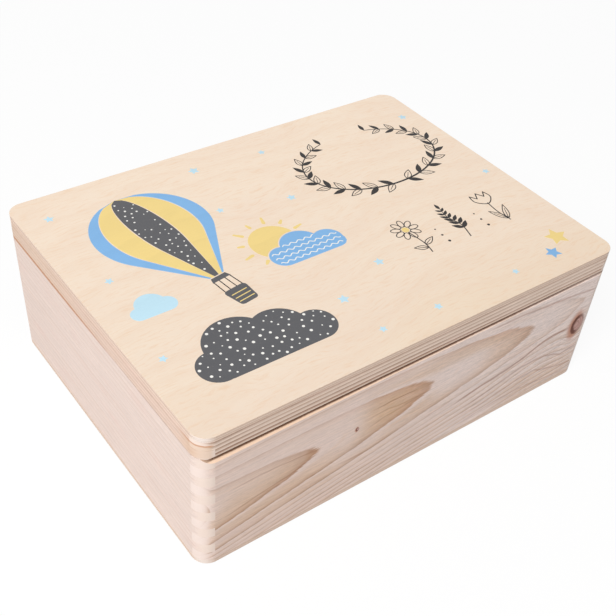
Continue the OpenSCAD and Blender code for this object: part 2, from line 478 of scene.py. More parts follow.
def paint_knots(coat, board, spots, u, v):
    """Paints the knots: bark that is thick on the left, a mauve heart, and a warm halo."""
    speck = coat.noise(u / 1.1, v / 1.1, board.seed + 5)
    rags = coat.noise(u / 3.5, v / 3.5, board.seed + 8)
    for distance, across in spots:
        ragged = distance + speck * 0.06 + rags * 0.10
        left = across.fall(-0.5, 0.9)
        halo = (ragged - left * 0.35).fall(0.8, 1.7)
        coat.paint(halo * (left * 0.6 + 0.15), KNOT_HALO)
        heart_rings = (ragged * 2.5 + across * 1.2).fraction().step(0.2, 1)
        heart = coat.mix(heart_rings * 0.6, HEART_PALE, HEART_DARK)
        bark = (ragged + left * 0.3).step(0.80, 1) * ragged.fall(0.98, 1.2)
        coat.paint(1 - ragged.step(0.85, 1), heart)
        coat.paint(bark * (left * 0.55 + 0.4), BARK)


def paint_rim(coat, board, x, y, z, ragged):
    """Painted shade along the seam between lid and case: a thin brown line, and tan shade round its
    farther half.
    """
    off = (z - RIM_HEIGHT_MM).size() + ragged
    inward = (HALF_X_MM - x.size()).least(HALF_Y_MM - y.size())
    outside = inward.fall(0.1, 0.5)
    if board.rim_warm_shade:
        # painted tan shade along the seam, in its farther half
        glow = off.fall(0.3, 2.6) * (y + HALF_Y_MM).step(100, 190) * outside
        coat.paint(glow * board.rim_warm_shade, RIM_TAN)
    # painted shade: a thin brown line in the seam
    brown = off.fall(0.3, 0.75) * outside
    coat.paint(brown * board.rim_shade, SEAM_SHADE_BROWN)


def paint_corner(coat, board, x, y, z, ragged):
    """A tan ring round the near left corner of the lid, and warmer wood below it."""
    facing_x, _, _ = coat.facing()
    near = (x + HALF_X_MM + (y + HALF_Y_MM)).fall(12, 30)
    here = near * (-facing_x).step(0.1, 0.35) * board.corner_ring
    ring = (z - CORNER_RING_MM + ragged * 3).size().fall(0.2, 1.1)
    above_rim = z.step(RIM_HEIGHT_MM, RIM_HEIGHT_MM + 2)
    below = above_rim * z.fall(CORNER_RING_MM - 1, CORNER_RING_MM)
    coat.paint(here * below * 0.5, WARM_TAN)
    coat.paint(here * ring, RIM_TAN)


def paint_bevel(coat, x, y, z, ragged):
    """Warms the bevel under the lid's front, and paints shade on its top while the lid is near, where
    the lid would keep the light off.
    """
    _, _, upward = coat.facing()
    along, behind = x + HALF_X_MM, y + HALF_Y_MM
    here = upward.step(0.35, 0.55) * upward.fall(0.85, 0.95)
    here = here * behind.fall(5.5, 6) * z.step(109.5, 110.5)
    fade = 1 - along.step(60, 380) * 0.8
    coat.paint(here * fade * 0.8, SAWN_WARM)
    # painted shade: the part of the bevel that the lid would shade, along the line of sight over the
    # front edge
    shade = (z + behind * BEVEL_SIGHT + ragged * 4).step(BEVEL_DARK_MM - 0.6, BEVEL_DARK_MM + 1.4)
    dark = along.step(-4, 14) * (0.93 - along.step(250, 400) * 0.28)
    shut = coat.openness(GAP_REACH_MM).fall(0.86, 0.99)
    coat.paint(here * shade * dark * shut, SEAM_SHADE_BROWN)


def paint_seam(coat, board):
    """Paints what the board shows along the seam between lid and case, with painted shade in the seam.
    """
    x, y, z = coat.place_mm()
    ragged = coat.noise(x / 3, y / 3, z / 3) * 0.12
    paint_rim(coat, board, x, y, z, ragged)
    if board.corner_ring:
        paint_corner(coat, board, x, y, z, ragged)
    if board.bevelled:
        paint_bevel(coat, x, y, z, ragged)


def pine(name, board):
    """The finish of one raw, finely sanded pine board."""
    coat = Coat(name, board.early)
    place, end_on = board_place(coat, board)
    u, v, _ = place
    bent, spots = around_knots(board, u, v)
    endness = end_on.step(0.2, 0.8)
    late, radius = paint_rings(coat, board, place, bent, endness)
    fibre, pore = paint_figure(coat, board, place, radius, endness)
    paint_ends(coat, board, endness)
    paint_veins(coat, board, u, v)
    paint_knots(coat, board, spots, u, v)
    paint_seam(coat, board)
    fuzz = coat.grain(FUZZ, place, 0)
    relief = fibre * 0.02 + fuzz * 0.008 + late * 0.02 - pore * 0.03
    return coat.close(fibre * 0.06 + late * 0.08 + 0.62, relief, specular=0.32, strength=0.9)


# ======== Birch plywood ========

PLY_COUNT = 3
FACE_PALE = (250, 231, 210)
FACE_RIPE = (242, 218, 186)
FLAME_TAN = (238, 206, 178)
SWELL_PINK = (244, 221, 203)
STREAK_TAN = (234, 194, 156)
PLY_PORE = (196, 152, 118)
PLY_ALONG = (226, 198, 178)     # edge of a ply whose grain runs along that edge
PLY_END = (240, 216, 198)       # edge of a ply that shows its end grain
PLY_CORNER = (253, 243, 236)
GLUE_LINE = (164, 126, 104)


def veneer_grain(coat, x, y, seed):
    """Colour figure of a rotary-cut birch face: slow flames, short wavy streaks and fine pores."""
    swell = coat.noise(x / 150 + seed, y / 62, seed, detail=2)
    wave = coat.noise(x / 26 + seed, y / 11, seed + 3, detail=2)
    band = (y / 30 + swell * 2 + wave * 0.18).fraction()
    flame = band ** 2 * band.fall(0.8, 1)
    across = (y + swell * 22 + wave * 3) / 1.5
    streak = coat.noise(x / 14 + seed, across, seed, detail=4, rough=0.62)
    pore = coat.noise(x / 3.2 + seed, y / 0.34, seed + 9, detail=1).step(0.36, 0.6)
    return flame, streak, pore, swell


def paint_veneer(coat, x, y, figure):
    """Paints a panel's face, riper at the front right and lighter towards the back right."""
    flame, streak, pore, swell = figure
    ripe = x.step(-120, 60) * y.fall(-160, -70) * 0.4
    coat.paint(ripe, FACE_RIPE)
    coat.paint(flame * 0.28, FLAME_TAN)
    coat.paint(swell.step(-0.3, 0.5) * 0.3, SWELL_PINK)
    coat.paint(streak.step(-0.1, 0.5) * 0.45, STREAK_TAN)
    coat.shade(streak * 0.04 + x * 0.0002 + y * 0.00027 + 0.99)
    coat.paint(pore * 0.2, PLY_PORE)


def paint_plies(coat, level, fleck, facing_x, facing_y):
    """Paints a panel's edge, where level counts the plies; gives how near a glue line is."""
    crossed = (level.whole() / 2).fraction() * 2
    end_on = facing_x.size() * (1 - crossed) + facing_y.size() * crossed
    coat.paint(end_on.step(0.2, 0.9), PLY_END)
    cut_across = (facing_x.size() * facing_y.size() * 2).least(1)
    coat.paint(cut_across * 0.7, PLY_CORNER)
    coat.shade(fleck * 0.09 + 1)
    seam = (level.fraction() - 0.5).size().step(0.36, 0.5)
    coat.paint(seam * 0.6, GLUE_LINE)
    return seam


def plywood(name, bottom_mm, thick_mm, seed):
    """The finish of a thin birch panel: figured faces, and layered edges."""
    coat = Coat(name, PLY_ALONG)
    x, y, z = coat.place_mm()
    facing_x, facing_y, facing_z = coat.facing()
    fleck = coat.noise(x / 6, y / 6, z / 0.4, detail=2)
    level = (z - bottom_mm) * (PLY_COUNT / thick_mm)
    seam = paint_plies(coat, level, fleck, facing_x, facing_y)
    edge, coat.colour = coat.colour, FACE_PALE
    figure = veneer_grain(coat, x, y, seed)
    paint_veneer(coat, x, y, figure)

    flat = facing_z.size().step(0.6, 0.9)
    coat.colour = coat.mix(flat, edge, coat.colour)
    _, streak, pore, _ = figure
    relief = streak * 0.008 - pore * 0.02 + fleck * (1 - flat) * 0.03 - seam * (1 - flat) * 0.04
    return coat.close(streak * 0.05 + 0.56, relief, specular=0.35, strength=0.8)


# ======== Hinges and screws ========

HINGE_PLATING = (184, 181, 175)
SCREW_PLATING = (196, 186, 164)
PLATING_STAIN = (150, 142, 130)


def plated_steel(name, colour, roughness, wear):
    """Bright plated steel with rolling lines, stains and small scratches."""
    coat = Coat(name, colour)
    x, y, z = coat.place_mm()
    brushed = coat.noise(x / 14, y / 0.12, z / 0.12, detail=3)
    stain = coat.noise(x / 5, y / 5, z / 5, detail=4)
    scratch = coat.noise(x / 0.25, y / 0.25, z / 3.5, detail=1).step(0.45, 0.62)
    coat.paint(stain.step(-0.3, 0.6) * wear, PLATING_STAIN)
    coat.shade(brushed * 0.05 + 1)
    coat.shader.inputs["Metallic"].default_value = 1
    relief = brushed * 0.004 - scratch * 0.006
    roughness = brushed * 0.08 + stain * 0.10 + roughness
    return coat.close(roughness, relief, specular=0.5, strength=0.7)


# ======== Finishes of the pieces that the frame holds ========

LID_RAIL = dict(
    pith_height=20, pith_depth=24, ring_gap=3.7, drift=0.9, wobble=0.12, crisp=2.1, fading=0.35,
)
BOARDS = {
    "front_board": Board(
        grain="x", outward=-1, seed=3,
        pith_height=59, pith_rise=0.125, pith_bend=-0.00013, pith_depth=35, taper=0.076,
        ring_gap=8, ring_shift=0.63, drift=1.1, wobble=0.62, fray=0.07, fading=0.4,
        tight_from=60, contrast=1.35, rough=1.3, upper=0.4, bevelled=True, turn_highlight=0.7,
        early=(244, 221, 210), far=(246, 228, 221), tan=(228, 194, 166), late=(168, 124, 98),
        end=(249, 232, 223),
        knots=(Spot(380.3, 62.8, 7.2, 10.2), Spot(136, 71, 1.5, 1.8)),
        swells=(Spot(332, 44, 42, 20, 7),),
        patches=(
            Spot(58, 46, 60, 20, 0.6), Spot(62, 72, 44, 14, 0.2),
            Spot(98, 70, 9, 6, 0.9), Spot(176, 77, 36, 24, 1),
            Spot(250, 99, 46, 8, 0.5), Spot(296, 84, 30, 18, 0.45),
            Spot(346, 14, 50, 16, 0.45),
        ),
        veins=(
            Vein(((240, 40), (266, 45), (286, 48), (304, 51), (319, 55),
                  (329, 59), (338, 62), (350, 64), (368, 63)), 2.2, 0.66),
            Vein(((252, 28), (280, 34), (300, 38), (318, 43), (334, 43),
                  (346, 42), (357, 38), (369, 33), (392, 36)), 1.8, 0.45),
            Vein(((262, 19), (292, 24), (318, 28), (338, 29), (347, 25),
                  (360, 21), (375, 17), (392, 15)), 1.6, 0.38),
            Vein(((250, 9), (280, 13), (312, 15), (335, 13), (355, 10), (380, 7)), 1.4, 0.35),
            Vein(((262, 110), (300, 109), (325, 106), (350, 104), (388, 99)), 1.8, 0.42),
            Vein(((360, 55), (366, 51), (374, 46)), 1.4, 0.3),
            Vein(((148, 83), (168, 84), (192, 83)), 1, 0.6),
            Vein(((140, 76), (164, 77), (184, 74), (202, 75)), 1.2, 0.3),
            Vein(((142, 64), (160, 69), (180, 71), (196, 74)), 1.2, 0.35),
            Vein(((20, 47), (50, 54), (76, 58), (98, 66)), 1.4, 0.4),
            Vein(((24, 74), (52, 75), (78, 73), (96, 71)), 1.2, 0.35),
            Vein(((122, 39.5), (146, 39)), 1.5, 0.4),
        ),
    ),
    "back_board": Board(
        grain="x", outward=1, seed=11,
        pith_height=30, pith_rise=0.05, pith_depth=48, taper=0.05, ring_gap=6, drift=2.2,
        knots=(Spot(118, 40, 6, 7), Spot(292, 84, 3, 3.4)),
    ),
    "left_board": Board(
        grain="y", outward=-1, seed=19,
        pith_height=-70, pith_rise=0.03, pith_depth=30, ring_gap=5.5, drift=3,
        contrast=0.3, lines=0.75, bevelled=True, rim_shade=0.2, rim_warm_shade=0.75,
        early=(242, 222, 212), end=(248, 228, 214),
    ),
    "right_board": Board(
        grain="y", outward=1, seed=23,
        pith_height=66, pith_rise=-0.04, pith_depth=44, taper=0.06, ring_gap=7, drift=2.4,
        contrast=0.6, bevelled=True, turn_highlight=0.7, early=(241, 218, 203),
    ),
    "lid_front_rail": Board(
        grain="x", outward=-1, seed=31, **LID_RAIL,
        contrast=2, corner_ring=0.8, early=(250, 228, 212), late=(172, 134, 114),
    ),
    "lid_back_rail": Board(grain="x", outward=1, seed=37, **LID_RAIL),
    "lid_left_rail": Board(
        grain="y", outward=-1, seed=41, **LID_RAIL,
        contrast=0.6, rim_shade=0.2, rim_warm_shade=0.75, corner_ring=0.8,
        early=(240, 213, 197), far=(233, 206, 185),
    ),
    "lid_right_rail": Board(
        grain="y", outward=1, seed=43, **LID_RAIL, contrast=0.6, early=(238, 214, 198),
    ),
}
PANELS = {"lid_panel": 2, "bottom_panel": 7}        # each panel's own seed

EASE_WOOD_MM = 0.07             # how far each sharp edge is broken
EASE_PANEL_MM = 0.35
EASE_STEEL_MM = 0.08
EASE_STEPS = 2
EASE_FROM_DEG = 40              # bend of an edge that counts as sharp
WELD_WITHIN = 1e-6


def dress(name, material, ease_mm):
    """Gives a piece of the frame its finish and breaks its sharp edges."""
    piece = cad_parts[name]
    for place in piece.material_slots:
        place.material = material
    weld = piece.modifiers.new("weld", "WELD")
    weld.merge_threshold = WELD_WITHIN
    ease = piece.modifiers.new("ease", "BEVEL")
    ease.width = ease_mm * MM
    ease.segments = EASE_STEPS
    ease.limit_method = "ANGLE"
    ease.angle_limit = math.radians(EASE_FROM_DEG)
    even = piece.modifiers.new("even", "WEIGHTED_NORMAL")
    even.weight = 100


def dress_frame():
    """Every piece of the frame, by what it is made of."""
    for name, board in BOARDS.items():
        dress(name, pine(name + "_pine", board), EASE_WOOD_MM)
    for name, seed in PANELS.items():
        low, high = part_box(name)
        material = plywood(name + "_birch", low[2] / MM, (high[2] - low[2]) / MM, seed)
        dress(name, material, EASE_PANEL_MM)
    steel = plated_steel("hinge_plating", HINGE_PLATING, roughness=0.30, wear=0.3)
    screw = plated_steel("screw_plating", SCREW_PLATING, roughness=0.26, wear=0.2)
    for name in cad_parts:
        if name.endswith("_leaf") or name.endswith("_pin"):
            dress(name, steel, EASE_STEEL_MM)
        elif name.endswith("_screws"):
            dress(name, screw, EASE_STEEL_MM)


# ======== Print on the lid ========
# A balloon, clouds, a sun and stars in flat colours, and leaves and flowers in
# black line. All of it is thin ink film on the panel. Outlines are lists of
# (x, y) points in millimetres from the lid's middle.

INK_HIGH_MM = 0.05              # how far the ink stands above the wood
INK_STEP_MM = 0.03              # how much higher a second printing on it stands
INK_DEEP_MM = 0.02              # how far it has soaked into what is under it
ROUND_STEPS = 40                # points on a full circle
SMALL_STEPS = 16                # points on a small one
NIB_STEPS = 12                  # points on the round end of a pen line
LEAF_STEPS = 12                 # parts of each side of a leaf

YELLOW = (245, 217, 140)
BLUE = (132, 184, 232)
CHARCOAL = (88, 88, 91)
ICE = (196, 230, 245)
WHITE = (250, 248, 242)
BLACK = (26, 21, 20)
INK_PORE = (214, 186, 156)      # wood that shows in a pore of the ink


def polar(x, y, radius, degrees):
    """The point at this distance and direction from (x, y)."""
    angle = math.radians(degrees)
    return (x + radius * math.cos(angle), y + radius * math.sin(angle))


def oval(x, y, wide, high, turn=0, steps=ROUND_STEPS):
    """An ellipse of these full sizes, turned by degrees."""
    cosine, sine = math.cos(math.radians(turn)), math.sin(math.radians(turn))
    points = []
    for i in range(steps):
        angle = math.tau * i / steps
        across, up = wide / 2 * math.cos(angle), high / 2 * math.sin(angle)
        points.append((x + across * cosine - up * sine, y + across * sine + up * cosine))
    return points


def disc(x, y, radius, steps=ROUND_STEPS):
    """A filled circle."""
    return oval(x, y, 2 * radius, 2 * radius, steps=steps)


def star(x, y, radius, tips, waist=0.45, turn=90):
    """A star whose tips reach the radius, and whose notches lie at waist times the radius."""
    reach = [radius, radius * waist]
    return [polar(x, y, reach[i % 2], turn + 180 * i / tips) for i in range(2 * tips)]


def smooth(points, steps=8):
    """A curve through all the points, as a list of closer points."""
    ends = [points[0], *points, points[-1]]
    curve = []
    for before, start, end, after in zip(ends, ends[1:], ends[2:], ends[3:]):
        for i in range(steps):
            t = i / steps
            curve.append(tuple(
                0.5 * (2 * b + (c - a) * t + (2 * a - 5 * b + 4 * c - d) * t * t
                       + (3 * b - a - 3 * c + d) * t * t * t)
                for a, b, c, d in zip(before, start, end, after)
            ))
    return [*curve, points[-1]]


def stroke(points, width, end_width=None):
    """A pen line along the points, as overlapping pieces; it may taper to end_width."""
    last = len(points) - 1
    end_width = width if end_width is None else end_width
    widths = [width + (end_width - width) * i / last for i in range(last + 1)]
    pieces = []
    for i, (x, y) in enumerate(points):
        pieces.append(disc(x, y, widths[i] / 2, steps=NIB_STEPS))
        if i == last:
            break
        next_x, next_y = points[i + 1]
        along = Vector((next_x, next_y)) - Vector((x, y))
        if along.length > 1e-6:
            side = Vector((-along.y, along.x)).normalized()
            near, far = side * widths[i] / 2, side * widths[i + 1] / 2
            pieces.append([
                (x + near.x, y + near.y), (x - near.x, y - near.y),
                (next_x - far.x, next_y - far.y), (next_x + far.x, next_y + far.y),
            ])
    return pieces


def leaf(x, y, degrees, length, wide):
    """A pointed leaf that starts at (x, y) and grows in this direction."""
    left, right = [], []
    for i in range(LEAF_STEPS + 1):
        t = i / LEAF_STEPS
        spread = wide / 2 * math.sin(math.pi * t ** 0.8)
        middle_x, middle_y = polar(x, y, length * t, degrees)
        left.append(polar(middle_x, middle_y, spread, degrees + 90))
        right.append(polar(middle_x, middle_y, spread, degrees - 90))
    return [*left[1:-1], polar(x, y, length, degrees), *reversed(right[1:-1]), (x, y)]


def leaf_lines(x, y, degrees, length, wide, pen):
    """The same leaf in outline, with its middle vein."""
    edge = leaf(x, y, degrees, length, wide)
    tip = polar(x, y, length * 0.72, degrees)
    return [*stroke([*edge, edge[0]], pen), *stroke([(x, y), tip], pen, pen * 0.6)]


def inside(point, outline):
    """Whether a point lies within an outline."""
    x, y = point
    hit = False
    for (x1, y1), (x2, y2) in zip(outline, [*outline[1:], outline[0]]):
        if (y1 > y) != (y2 > y) and x < x1 + (y - y1) / (y2 - y1) * (x2 - x1):
            hit = not hit
    return hit


def covered(point, shapes, margin):
    """Whether a point lies within the shapes with this margin all round."""
    spots = [point, *[polar(*point, margin, 60 * i) for i in range(6)]]
    return all(any(inside(spot, shape) for shape in shapes) for spot in spots)


def anticlockwise(outline):
    """The outline in the order that has its inside on the left."""
    turn = sum(x1 * y2 - x2 * y1 for (x1, y1), (x2, y2) in zip(outline, [*outline[1:], outline[0]]))
    return outline if turn > 0 else outline[::-1]


def flat_triangles(shapes, holes):
    """The union of the shapes without the holes, as corners and triangles."""
    points, faces = [], []
    for outline in map(anticlockwise, [*shapes, *holes]):
        faces.append(list(range(len(points), len(points) + len(outline))))
        points += [Vector(point) for point in outline]
    corners, _, triangles, _, _, sources = delaunay_2d_cdt(points, [], faces, 1, 1e-5)
    kept = [t for t, source in zip(triangles, sources) if source and max(source) < len(shapes)]
    return corners, kept


def film(name, shapes, colour, layer=0, holes=()):
    """A closed film of ink over the union of the shapes, with the holes left open."""
    corners, kept = flat_triangles(shapes, holes)
    top = LID_TOP_MM + INK_HIGH_MM + layer * INK_STEP_MM
    bottom = LID_TOP_MM - INK_DEEP_MM + layer * INK_HIGH_MM
    used = sorted({corner for triangle in kept for corner in triangle})
    count = len(used)
    place = {corner: i for i, corner in enumerate(used)}
    spots = [(corners[i].x * MM, corners[i].y * MM, z * MM) for z in (top, bottom) for i in used]
    faces, sides = [], {}
    for triangle in kept:
        a, b, c = [place[i] for i in triangle]
        faces += [(a, b, c), (c + count, b + count, a + count)]
        sides.update(dict.fromkeys(((a, b), (b, c), (c, a))))
    faces += [(a + count, b + count, b, a) for a, b in sides if (b, a) not in sides]
    mesh = bpy.data.meshes.new(name)
    mesh.from_pydata(spots, [], faces)
    mesh.materials.append(ink("ink_" + name, colour))
    piece = add_object(name, mesh)
    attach(piece, "lid")


def ink(name, colour):
    """Matt printing ink through which the grain of the panel still shows a little."""
    coat = Coat(name, colour)
    x, y, _ = coat.place_mm()
    flame, streak, pore, _ = veneer_grain(coat, x, y, PANELS["lid_panel"])
    mottle = coat.noise(x / 1.2, y / 1.2, 1, detail=3)
    coat.shade(streak * 0.035 + mottle * 0.03 - flame * 0.05 + 1)
    coat.paint(pore * 0.22, INK_PORE)
    relief = streak * 0.006 - pore * 0.015 + mottle * 0.004
    return coat.close(streak * 0.05 + mottle * 0.04 + 0.5, relief, specular=0.4, strength=0.8)


# ---- balloon ----

BALLOON_X, BALLOON_Y = -112, 66
BALLOON_R = 50
BALLOON_TURN = 9
MOUTH_HALF = 7
MOUTH_DROP = 78
GORE_CUTS = (-1, -0.74, -0.3, 0.3, 0.74, 1)
GORE_GAP = 0.9
GORE_STEPS = 40
SHOULDER_DEG = 35               # how far below its widest line the envelope turns straight
ROPE_SIDES = (-1.1, -0.4, 0.4, 1.1)
WEAVE_DROPS = (102.5, 107, 111.5)


def balloon_point(side, drop):
    """A point of the envelope: side from -1 to 1 across it, and drop in mm below its middle."""
    shoulder = math.radians(SHOULDER_DEG)
    shoulder_drop = BALLOON_R * math.sin(shoulder)
    if drop < shoulder_drop:
        half = math.sqrt(max(0, BALLOON_R ** 2 - drop ** 2))
    else:
        share = min(1, (drop - shoulder_drop) / (MOUTH_DROP - shoulder_drop))
        half = BALLOON_R * math.cos(shoulder) * (1 - share) + MOUTH_HALF * share
    turn = math.radians(BALLOON_TURN)
    across, up = side * half, -drop
    return (BALLOON_X + across * math.cos(turn) - up * math.sin(turn),
            BALLOON_Y + across * math.sin(turn) + up * math.cos(turn))


def gore(first, last):
    """One panel of the envelope between two cuts, drawn in a little from its neighbours."""
    high = MOUTH_DROP + BALLOON_R
    drops = [-BALLOON_R + high * i / GORE_STEPS for i in range(1, GORE_STEPS + 1)]
    inset = GORE_GAP / 2 / BALLOON_R
    left = [balloon_point(first + (inset if first > -1 else 0), drop) for drop in drops]
    right = [balloon_point(last - (inset if last < 1 else 0), drop) for drop in drops]
    return [balloon_point((first + last) / 2, -BALLOON_R), *left, *reversed(right)]


def balloon():
    """The balloon's coloured panels, band, ropes and basket."""
    gores = [gore(a, b) for a, b in zip(GORE_CUTS, GORE_CUTS[1:])]
    film("balloon_blue", [gores[0], gores[4]], BLUE)
    film("balloon_yellow", [gores[1], gores[3]], YELLOW)
    film("balloon_charcoal", [gores[2]], CHARCOAL)
    film("balloon_dots", scattered_dots([gores[2]], 46, 0.9, 2, 4, 71), WHITE, layer=1)

    band = [balloon_point(s, d) for s, d in ((-1, 79), (1, 79), (1.25, 84), (-1.25, 84))]
    corners = [balloon_point(s, d) for s, d in ((-1.35, 98), (1.35, 98), (1.05, 116), (-1.05, 116))]
    basket = rounded(corners, 3)
    film("balloon_basket", [band, *basket], CHARCOAL)
    ropes = []
    for side in ROPE_SIDES:
        ropes += stroke([balloon_point(side, 83), balloon_point(side * 1.1, 99)], 0.9)
    film("balloon_ropes", ropes, BLACK, holes=[band, *basket])
    weave = []
    for row in WEAVE_DROPS:
        wave = [balloon_point(s / 10, row + 0.9 * (-1) ** s) for s in range(-10, 11, 2)]
        weave += stroke(smooth(wave, 5), 0.9)
    film("basket_weave", weave, YELLOW, layer=1)


def rounded(corners, radius):
    """A convex shape with round corners, as overlapping pieces."""
    middle_x = sum(x for x, _ in corners) / len(corners)
    middle_y = sum(y for _, y in corners) / len(corners)
    drawn_in = []
    for x, y in corners:
        away = Vector((x - middle_x, y - middle_y))
        drawn_in.append((x - away.x / away.length * radius, y - away.y / away.length * radius))
    loop = [*drawn_in, drawn_in[0]]
    return [drawn_in, *stroke(loop, 2 * radius)]


DOT_TRIES = 4000


def scattered_dots(shapes, count, smallest, largest, apart, seed):
    """Dots of mixed sizes strewn over the shapes, none nearer to another than apart."""
    draw = random.Random(seed)
    xs = [x for shape in shapes for x, _ in shape]
    ys = [y for shape in shapes for _, y in shape]
    dots = []
    for _ in range(DOT_TRIES):
        spot = (draw.uniform(min(xs), max(xs)), draw.uniform(min(ys), max(ys)))
        size = draw.uniform(smallest, largest)
        clear = all(math.dist(spot, other) > apart + size / 2 for other, _ in dots)
        if clear and covered(spot, shapes, size / 2 + 1):
            dots.append((spot, size))
        if len(dots) == count:
            break
    return [disc(x, y, size / 2, SMALL_STEPS) for (x, y), size in dots]


# ---- clouds, sun and stars ----


def cloud(x, y, wide, puffs):
    """A flat-bottomed cloud whose puffs are (place along it, radius) from left to right."""
    foot = min(radius for _, radius in puffs) * 0.7
    base = stroke([(x - wide / 2 + foot, y + foot), (x + wide / 2 - foot, y + foot)], 2 * foot)
    return [*base, *[disc(x + along, y + radius, radius) for along, radius in puffs]]


SUN_X, SUN_Y, SUN_R = -38, 2, 21
SUN_RAYS = 12
RAY_START, RAY_END = 26, 33
SOFT_X, SOFT_Y, SOFT_WIDE = -18, -30, 66        # the blue cloud before the sun
WAVE_HIGH = 1.1
WAVE_SHORTEST = 8
CHARCOAL_PUFFS = ((-44, 16), (-18, 28), (14, 24), (40, 16))
BLUE_PUFFS = ((-24, 12), (-3, 18), (20, 13))
SMALL_PUFFS = ((-11, 7), (1, 12.5), (12, 8))


def wave_lines(x, y, wide, rows, gap, shapes):
    """Rows of small waves, kept within the shapes."""
    lines = []
    for row in range(rows):
        run = []
        for i in range(int(wide)):
            spot = (x - wide / 2 + i, y + row * gap + WAVE_HIGH * math.sin(i * 0.9))
            if covered(spot, shapes, 2.2):
                run.append(spot)
            else:
                lines.append(run)
                run = []
        lines.append(run)
    return [piece for line in lines if len(line) > WAVE_SHORTEST for piece in stroke(line, 0.9)]


def sky():
    """Three clouds, and a sun behind one of them."""
    dark = cloud(-108, -112, 104, CHARCOAL_PUFFS)
    film("cloud_charcoal", dark, CHARCOAL)
    film("cloud_charcoal_dots", scattered_dots(dark, 90, 1, 2.6, 4.4, 15), WHITE, layer=1)
    soft = cloud(SOFT_X, SOFT_Y, SOFT_WIDE, BLUE_PUFFS)
    film("cloud_blue", soft, BLUE)
    film("cloud_blue_waves", wave_lines(SOFT_X, SOFT_Y + 5, SOFT_WIDE - 2, 4, 6, soft), WHITE, layer=1)
    film("cloud_small", cloud(-160, -28, 34, SMALL_PUFFS), ICE)

    rays = []
    for i in range(SUN_RAYS):
        degrees = 15 + 360 / SUN_RAYS * i
        end = RAY_END - 3 * (i % 2)
        rays += stroke([polar(SUN_X, SUN_Y, reach, degrees) for reach in (RAY_START, end)], 3.2, 2)
    gap = cloud(SOFT_X, SOFT_Y - 1, SOFT_WIDE + 2, [(a, r + 1) for a, r in BLUE_PUFFS])
    film("sun", [disc(SUN_X, SUN_Y, SUN_R), *rays], YELLOW, holes=gap)


STARS = (
    (-176, 118, 4.4), (-40, 122, 5.2), (-172, 24, 3.8), (-52, 60, 3.6),
    (10, 46, 4.4), (18, -62, 4.8), (-34, -84, 5), (-30, -126, 3.6),
    (-180, -70, 3.8), (28, 118, 3.6), (182, 104, 4.6), (186, -8, 3.8),
    (22, -128, 4), (104, -128, 3.4),
)


def strewn_stars():
    """Small pale stars over the whole lid, and a pair of larger ones in a corner."""
    film("stars_ice", [star(x, y, r, 5, 0.5, 90 + 7 * x) for x, y, r in STARS], ICE)
    film("star_yellow", [star(168, -112, 11, 5, 0.5, 80)], YELLOW)
    film("star_blue", [star(149, -126, 7.5, 5, 0.5, 100)], BLUE)


# ---- leaves and flowers in black line ----

WREATH_X, WREATH_Y = 108, 62
WREATH_WIDE, WREATH_HIGH = 68, 44
STEM_STEPS = 36
PEN = 1
FINE_PEN = PEN * 0.8
PLANT_Y = -52
DAISY_X, FERN_X, TULIP_X = 64, 108, 152
PETALS = 9


def wreath():
    """Two leafy sprigs that meet at the foot and stay open at the top."""
    lines = []
    for side in (-1, 1):
        stem = []
        for i in range(STEM_STEPS + 1):
            angle = math.radians(-97 + 165 * i / STEM_STEPS)
            stem.append((WREATH_X + side * WREATH_WIDE * math.cos(angle),
                         WREATH_Y + WREATH_HIGH * math.sin(angle)))
        lines += stroke(stem, 2, 0.8)
        for i in range(3, STEM_STEPS, 3):
            (x1, y1), (x2, y2) = stem[i], stem[i + 1]
            heading = math.degrees(math.atan2(y2 - y1, x2 - x1))
            size = 15 - 4 * i / STEM_STEPS
            for turn in (-42, 42):
                if (i // 3 + (turn > 0)) % 2:
                    lines.append(leaf(x1, y1, heading + turn, size, size * 0.36))
                else:
                    lines += leaf_lines(x1, y1, heading + turn, size, size * 0.42, FINE_PEN)
        tip_x, tip_y = stem[-1]
        lines.append(leaf(tip_x, tip_y, 96 if side < 0 else 84, 11, 4))
    film("wreath", lines, BLACK)


def daisy(x, y):
    """A daisy on a stem with two leaves."""
    lines = stroke(smooth([(x, y - 22), (x + 2, y - 10), (x, y + 8)]), PEN)
    for i in range(PETALS):
        degrees = 360 / PETALS * i
        petal_x, petal_y = polar(x, y + 12, 8.5, degrees)
        petal = oval(petal_x, petal_y, 9, 5, degrees, 20)
        lines += stroke([*petal, petal[0]], FINE_PEN)
    lines += leaf_lines(x + 1.5, y - 12, 25, 13, 5, FINE_PEN)
    lines += leaf_lines(x + 1, y - 16, 155, 12, 5, FINE_PEN)
    return lines


def fern(x, y):
    """A sprig with pairs of filled leaves."""
    stem = smooth([(x - 2, y - 22), (x + 2, y - 6), (x - 1, y + 8), (x + 1, y + 20)])
    lines = stroke(stem, PEN * 1.1, PEN * 0.6)
    for i in range(6, 24, 3):
        size = 12.5 - 0.3 * i
        for turn in (-48, 48):
            lines.append(leaf(*stem[i], 90 + turn, size, size * 0.4))
    lines.append(leaf(*stem[-1], 88, 8, 3.2))
    return lines


def tulip(x, y):
    """A tulip with two long leaves."""
    lines = stroke(smooth([(x, y - 22), (x - 1.5, y - 8), (x, y + 6)]), PEN)
    cup = smooth([(x - 8, y + 21), (x - 9, y + 12), (x, y + 5), (x + 9, y + 12), (x + 8, y + 21)])
    lines += stroke(cup, PEN)
    crown = [(x - 8, y + 21), (x - 4, y + 15), (x, y + 22), (x + 4, y + 15), (x + 8, y + 21)]
    lines += stroke(crown, PEN)
    lines += leaf_lines(x, y - 20, 62, 20, 5, FINE_PEN)
    lines += leaf_lines(x, y - 20, 118, 18, 5, FINE_PEN)
    return lines


